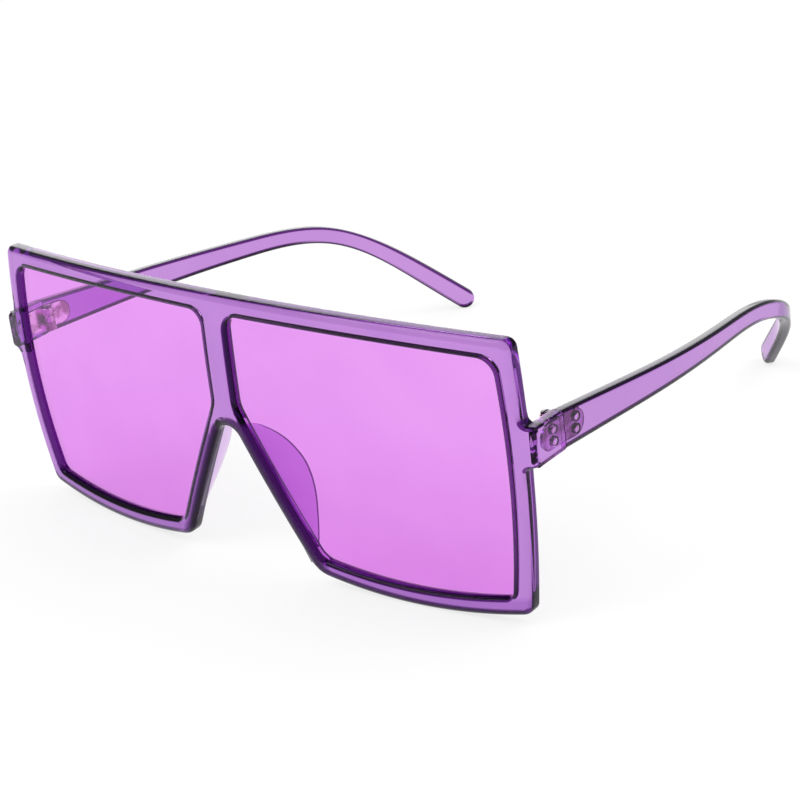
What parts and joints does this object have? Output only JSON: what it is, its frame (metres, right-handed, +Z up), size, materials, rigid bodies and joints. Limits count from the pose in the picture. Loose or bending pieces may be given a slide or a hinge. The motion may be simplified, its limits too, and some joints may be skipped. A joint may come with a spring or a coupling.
{
  "type": "sunglasses",
  "caption": "Oversized flat-topped sunglasses in clear tinted plastic, standing open, with temples that fold on metal hinges.",
  "frame": {"origin": "centre of the footprint, on the surface that the rims and the two temple tips stand on", "axes": "+X to the wearer's left, +Y backwards from the front to the temple tips, +Z up to the brow"},
  "size_m": [0.155, 0.145, 0.0646],
  "materials": {
    "frame_plastic": "polished clear violet",
    "lens_plastic": "polished orchid tint",
    "temple_plastic": "polished clear violet",
    "hinge_metal": "satin",
    "screw_metal": "bright"
  },
  "bodies": {
    "front": {"front_frame": "frame_plastic", "lens_left": "lens_plastic", "lens_right": "lens_plastic", "front_leaf_left": "hinge_metal", "front_leaf_right": "hinge_metal", "front_studs_left": "hinge_metal", "front_studs_right": "hinge_metal", "hinge_screw_left": "screw_metal", "hinge_screw_right": "screw_metal"},
    "left_temple": {"temple_left": "temple_plastic", "temple_leaf_left": "hinge_metal", "temple_studs_left": "hinge_metal"},
    "right_temple": {"temple_right": "temple_plastic", "temple_leaf_right": "hinge_metal", "temple_studs_right": "hinge_metal"}
  },
  "joints": [
    {"name": "left_temple_fold", "type": "hinge", "parent": "front", "child": "left_temple", "pos_m": [0.07331, -0.0548, 0.0414], "axis": [0, 0, 1], "range_deg": [0, 80]},
    {"name": "right_temple_fold", "type": "hinge", "parent": "front", "child": "right_temple", "pos_m": [-0.07331, -0.0548, 0.0414], "axis": [0, 0, -1], "range_deg": [0, 74]}
  ]
}
